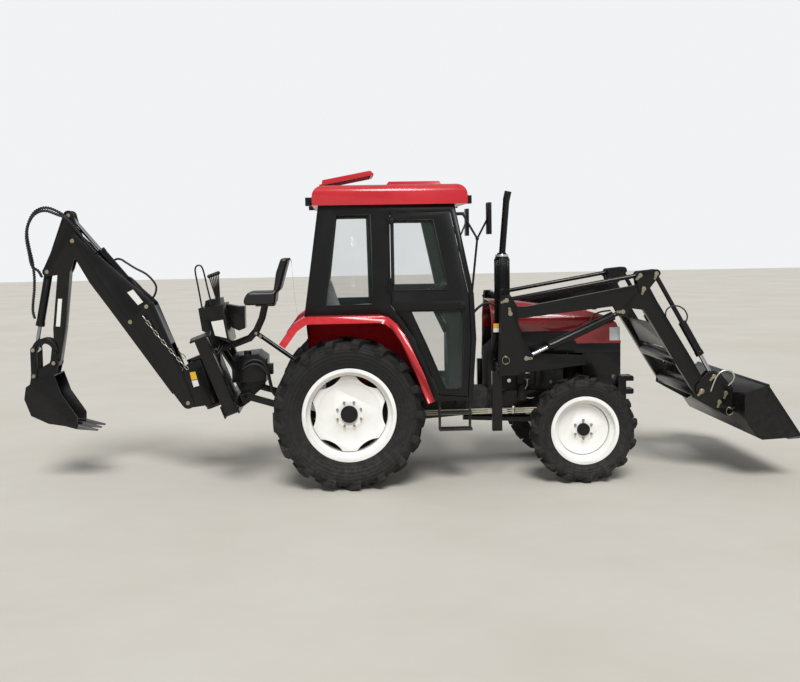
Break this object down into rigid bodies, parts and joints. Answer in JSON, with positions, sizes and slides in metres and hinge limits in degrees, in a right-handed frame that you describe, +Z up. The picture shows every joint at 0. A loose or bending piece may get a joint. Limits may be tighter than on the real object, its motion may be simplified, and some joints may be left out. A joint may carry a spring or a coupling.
{
  "type": "backhoe loader",
  "caption": "Compact four-wheel-drive cab tractor with a front-end loader and a digger arm with stabilizer legs on its rear hitch.",
  "frame": {"origin": "on the ground under the middle of the overall length and width", "axes": "+X forward, towards the loader bucket; +Y to the left; +Z up"},
  "size_m": [6.405, 1.7, 2.5946],
  "materials": {
    "red_paint": "glossy red paint",
    "black_paint": "semi-gloss black paint",
    "cab_black": "satin black paint",
    "grey_casting": "painted casting",
    "white_paint": "white wheel paint",
    "tyre": "dusty tread",
    "glass": "clear tinted glass",
    "chrome": "polished rod",
    "zinc": "zinc plated steel",
    "grey_cover": "grey seat cover",
    "black_vinyl": "black vinyl",
    "black_plastic": "moulded plastic",
    "lamp_lens": "clear lamp lens"
  },
  "bodies": {
    "tractor": {"transmission": "grey_casting", "engine": "grey_casting", "front_frame": "black_paint", "front_axle_beam": "black_paint", "loader_subframe": "black_paint", "cab_floor": "black_plastic", "cab_frame": "cab_black", "cab_roof": "red_paint", "wings": "red_paint", "cab_windows": "glass", "cab_seat": "grey_cover", "hood": "red_paint", "lamps": "lamp_lens", "exhaust": "black_paint", "digger_frame": "black_paint", "digger_console": "black_paint", "digger_seat": "black_vinyl", "oil_tank": "black_paint"},
    "steering_wheel": {"steering_wheel": "black_plastic"},
    "knuckle_left": {"knuckle_left": "black_paint"},
    "knuckle_right": {"knuckle_right": "black_paint"},
    "door_left": {"door_left": "cab_black"},
    "door_right": {"door_right": "cab_black"},
    "roof_hatch": {"roof_hatch": "red_paint"},
    "loader_arms": {"loader_arms": "black_paint"},
    "level_links": {"level_links": "black_paint"},
    "bellcranks": {"bellcranks": "black_paint"},
    "tilt_barrels": {"tilt_barrels": "black_paint"},
    "tilt_rods": {"tilt_rods": "chrome"},
    "tip_pins": {"tip_pins": "black_paint"},
    "loader_bucket": {"loader_bucket": "black_paint"},
    "lift_barrels": {"lift_barrels": "black_paint"},
    "lift_rods": {"lift_rods": "chrome"},
    "boom": {"boom": "black_paint"},
    "boom_barrel": {"boom_barrel": "black_paint"},
    "boom_rod": {"boom_rod": "chrome"},
    "dipper": {"dipper": "black_paint"},
    "dipper_barrel": {"dipper_barrel": "black_paint"},
    "dipper_rod": {"dipper_rod": "chrome"},
    "scoop_barrel": {"scoop_barrel": "black_paint"},
    "scoop_rod": {"scoop_rod": "chrome"},
    "horn_link": {"horn_link": "black_paint"},
    "scoop_link": {"scoop_link": "black_paint"},
    "scoop": {"scoop": "black_paint"},
    "leg_left": {"leg_left": "black_paint"},
    "leg_right": {"leg_right": "black_paint"},
    "leg_barrel_left": {"leg_barrel_left": "black_paint"},
    "leg_barrel_right": {"leg_barrel_right": "black_paint"},
    "leg_rod_left": {"leg_rod_left": "chrome"},
    "leg_rod_right": {"leg_rod_right": "chrome"},
    "wheel_front_left": {"rim_front_left": "white_paint", "tyre_front_left": "tyre"},
    "wheel_front_right": {"rim_front_right": "white_paint", "tyre_front_right": "tyre"},
    "wheel_rear_left": {"rim_rear_left": "white_paint", "tyre_rear_left": "tyre"},
    "wheel_rear_right": {"rim_rear_right": "white_paint", "tyre_rear_right": "tyre"},
    "swing_post": {"swing_post": "black_paint", "transport_chains": "zinc"}
  },
  "joints": [
    {"name": "wheel_rear_left_spin", "type": "hinge", "parent": "tractor", "child": "wheel_rear_left", "pos_m": [-0.475, 0.62, 0.62], "axis": [0, 1, 0], "continuous": true},
    {"name": "wheel_rear_right_spin", "type": "hinge", "parent": "tractor", "child": "wheel_rear_right", "pos_m": [-0.475, -0.62, 0.62], "axis": [0, 1, 0], "continuous": true},
    {"name": "steer_left", "type": "hinge", "parent": "tractor", "child": "knuckle_left", "pos_m": [1.447, 0.45, 0.44], "axis": [0, 0, 1], "range_deg": [-40, 40]},
    {"name": "steer_right", "type": "hinge", "parent": "tractor", "child": "knuckle_right", "pos_m": [1.447, -0.45, 0.44], "axis": [0, 0, 1], "range_deg": [-40.02, 40.02]},
    {"name": "wheel_front_left_spin", "type": "hinge", "parent": "knuckle_left", "child": "wheel_front_left", "pos_m": [1.447, 0.625, 0.44], "axis": [0, 1, 0], "continuous": true},
    {"name": "wheel_front_right_spin", "type": "hinge", "parent": "knuckle_right", "child": "wheel_front_right", "pos_m": [1.447, -0.625, 0.44], "axis": [0, 1, 0], "continuous": true},
    {"name": "steering_wheel_turn", "type": "hinge", "parent": "tractor", "child": "steering_wheel", "pos_m": [0.223, 0, 1.565], "axis": [-0.4226, 0, 0.9063], "range_deg": [-320.02, 320.02]},
    {"name": "door_left_hinge", "type": "hinge", "parent": "tractor", "child": "door_left", "pos_m": [-0.13, 0.645, 1.5], "axis": [0, 0, 1], "range_deg": [0, 55]},
    {"name": "door_right_hinge", "type": "hinge", "parent": "tractor", "child": "door_right", "pos_m": [-0.13, -0.645, 1.5], "axis": [0, 0, -1], "range_deg": [0, 55]},
    {"name": "roof_hatch_hinge", "type": "hinge", "parent": "tractor", "child": "roof_hatch", "pos_m": [-0.671, 0, 2.478], "axis": [0, -1, 0], "range_deg": [-8, 20]},
    {"name": "loader_lift", "type": "hinge", "parent": "tractor", "child": "loader_arms", "pos_m": [0.86, 0, 1.4], "axis": [0, -1, 0], "range_deg": [-12, 54]},
    {"name": "level_link_turn", "type": "hinge", "parent": "tractor", "child": "level_links", "pos_m": [0.83, 0, 1.51], "axis": [0, -1, 0], "range_deg": [-12.02, 54.02]},
    {"name": "bellcrank_turn", "type": "hinge", "parent": "loader_arms", "child": "bellcranks", "pos_m": [1.969, 0, 1.584], "axis": [0, -1, 0], "range_deg": [-54.02, 12.02]},
    {"name": "tilt_barrel_turn", "type": "hinge", "parent": "bellcranks", "child": "tilt_barrels", "pos_m": [2.074, 0, 1.706], "axis": [0, -1, 0], "range_deg": [-12.02, 54.02]},
    {"name": "tip_pin_turn", "type": "hinge", "parent": "loader_arms", "child": "tip_pins", "pos_m": [2.457, 0, 0.722], "axis": [0, -1, 0], "range_deg": [-54.02, 12.02]},
    {"name": "bucket_tilt", "type": "hinge", "parent": "tip_pins", "child": "loader_bucket", "pos_m": [2.457, 0, 0.722], "axis": [0, -1, 0], "range_deg": [-60, 35]},
    {"name": "tilt_rod_slide", "type": "slide", "parent": "tilt_barrels", "child": "tilt_rods", "axis": [0.4927, 0, -0.8702], "range_m": [-0.0927, 0.15877]},
    {"name": "lift_barrel_turn", "type": "hinge", "parent": "loader_arms", "child": "lift_barrels", "pos_m": [1.799, 0, 1.396], "axis": [0, -1, 0], "range_deg": [-7.7, 1.73]},
    {"name": "lift_rod_slide", "type": "slide", "parent": "lift_barrels", "child": "lift_rods", "axis": [-0.9107, 0, -0.4131], "range_m": [-0.07459, 0.33497]},
    {"name": "swing", "type": "hinge", "parent": "tractor", "child": "swing_post", "pos_m": [-1.71, 0, 0.83], "axis": [-0.3535, 0, 0.9354], "range_deg": [-80, 80]},
    {"name": "boom_turn", "type": "hinge", "parent": "swing_post", "child": "boom", "pos_m": [-1.844, 0, 0.663], "axis": [0, -1, 0], "range_deg": [-8, 85]},
    {"name": "boom_barrel_turn", "type": "hinge", "parent": "boom", "child": "boom_barrel", "pos_m": [-2.305, 0, 1.366], "axis": [0, -1, 0], "range_deg": [-0.78, 8.05]},
    {"name": "boom_rod_slide", "type": "slide", "parent": "boom_barrel", "child": "boom_rod", "axis": [0.6801, 0, -0.7331], "range_m": [-0.02924, 0.3087]},
    {"name": "dipper_turn", "type": "hinge", "parent": "boom", "child": "dipper", "pos_m": [-2.758, 0, 2.057], "axis": [0, -1, 0], "range_deg": [-100, 8]},
    {"name": "dipper_barrel_turn", "type": "hinge", "parent": "boom", "child": "dipper_barrel", "pos_m": [-2.165, 0, 1.494], "axis": [0, -1, 0], "range_deg": [-9.81, 0.8]},
    {"name": "dipper_rod_slide", "type": "slide", "parent": "dipper_barrel", "child": "dipper_rod", "axis": [-0.6302, 0, 0.7765], "range_m": [-0.30675, 0.02472]},
    {"name": "scoop_turn", "type": "hinge", "parent": "dipper", "child": "scoop", "pos_m": [-2.964, 0, 1.028], "axis": [0, -1, 0], "range_deg": [-57, 10]},
    {"name": "horn_link_turn", "type": "hinge", "parent": "dipper", "child": "horn_link", "pos_m": [-2.954, 0, 1.115], "axis": [0, -1, 0], "range_deg": [-60.95, 10.71]},
    {"name": "scoop_link_turn", "type": "hinge", "parent": "horn_link", "child": "scoop_link", "pos_m": [-3.127, 0, 1.144], "axis": [0, -1, 0], "range_deg": [-4.34, 24.63]},
    {"name": "scoop_barrel_turn", "type": "hinge", "parent": "dipper", "child": "scoop_barrel", "pos_m": [-2.992, 0, 1.801], "axis": [0, -1, 0], "range_deg": [-1.24, 6.95]},
    {"name": "scoop_rod_slide", "type": "slide", "parent": "scoop_barrel", "child": "scoop_rod", "axis": [-0.2013, 0, -0.9795], "range_m": [-0.16403, 0.02894]},
    {"name": "leg_left_turn", "type": "hinge", "parent": "tractor", "child": "leg_left", "pos_m": [-1.4258, 0.695, 0.6862], "axis": [-0.9354, 0, -0.3535], "range_deg": [0, 110]},
    {"name": "leg_barrel_left_turn", "type": "hinge", "parent": "tractor", "child": "leg_barrel_left", "pos_m": [-1.5884, 0.2, 1.1165], "axis": [-0.9354, 0, -0.3535], "range_deg": [-7.83, 0]},
    {"name": "leg_rod_left_slide", "type": "slide", "parent": "leg_barrel_left", "child": "leg_rod_left", "axis": [0.2045, 0.8157, -0.5411], "range_m": [0, 0.29052]},
    {"name": "leg_right_turn", "type": "hinge", "parent": "tractor", "child": "leg_right", "pos_m": [-1.4258, -0.695, 0.6862], "axis": [0.9354, 0, 0.3535], "range_deg": [0, 110]},
    {"name": "leg_barrel_right_turn", "type": "hinge", "parent": "tractor", "child": "leg_barrel_right", "pos_m": [-1.5884, -0.2, 1.1165], "axis": [0.9354, 0, 0.3535], "range_deg": [-7.83, 0]},
    {"name": "leg_rod_right_slide", "type": "slide", "parent": "leg_barrel_right", "child": "leg_rod_right", "axis": [0.2045, -0.8157, -0.5411], "range_m": [0, 0.29052]}
  ],
  "couplings": [
    {"joint": "steer_right", "follows": "steer_left", "ratio": 1},
    {"joint": "steering_wheel_turn", "follows": "steer_left", "ratio": 8},
    {"joint": "level_link_turn", "follows": "loader_lift", "ratio": 1},
    {"joint": "bellcrank_turn", "follows": "loader_lift", "ratio": -1},
    {"joint": "tilt_barrel_turn", "follows": "loader_lift", "ratio": 1},
    {"joint": "tip_pin_turn", "follows": "loader_lift", "ratio": -1},
    {"joint": "tilt_rod_slide", "follows": "bucket_tilt", "m_per_rad": -0.15142},
    {"joint": "lift_barrel_turn", "follows": "loader_lift", "ratio": -0.1422},
    {"joint": "lift_rod_slide", "follows": "loader_lift", "m_per_rad": 0.3552},
    {"joint": "boom_barrel_turn", "follows": "boom_turn", "ratio": 0.0945},
    {"joint": "boom_rod_slide", "follows": "boom_turn", "m_per_rad": 0.20795},
    {"joint": "dipper_barrel_turn", "follows": "dipper_turn", "ratio": 0.0979},
    {"joint": "dipper_rod_slide", "follows": "dipper_turn", "m_per_rad": 0.17564},
    {"joint": "horn_link_turn", "follows": "scoop_turn", "ratio": 1.0689},
    {"joint": "scoop_link_turn", "follows": "scoop_turn", "ratio": -0.4318},
    {"joint": "scoop_barrel_turn", "follows": "scoop_turn", "ratio": -0.1216},
    {"joint": "scoop_rod_slide", "follows": "scoop_turn", "m_per_rad": 0.16468},
    {"joint": "leg_barrel_left_turn", "follows": "leg_left_turn", "ratio": -0.071},
    {"joint": "leg_rod_left_slide", "follows": "leg_left_turn", "m_per_rad": 0.15122},
    {"joint": "leg_barrel_right_turn", "follows": "leg_right_turn", "ratio": -0.071},
    {"joint": "leg_rod_right_slide", "follows": "leg_right_turn", "m_per_rad": 0.15122}
  ]
}
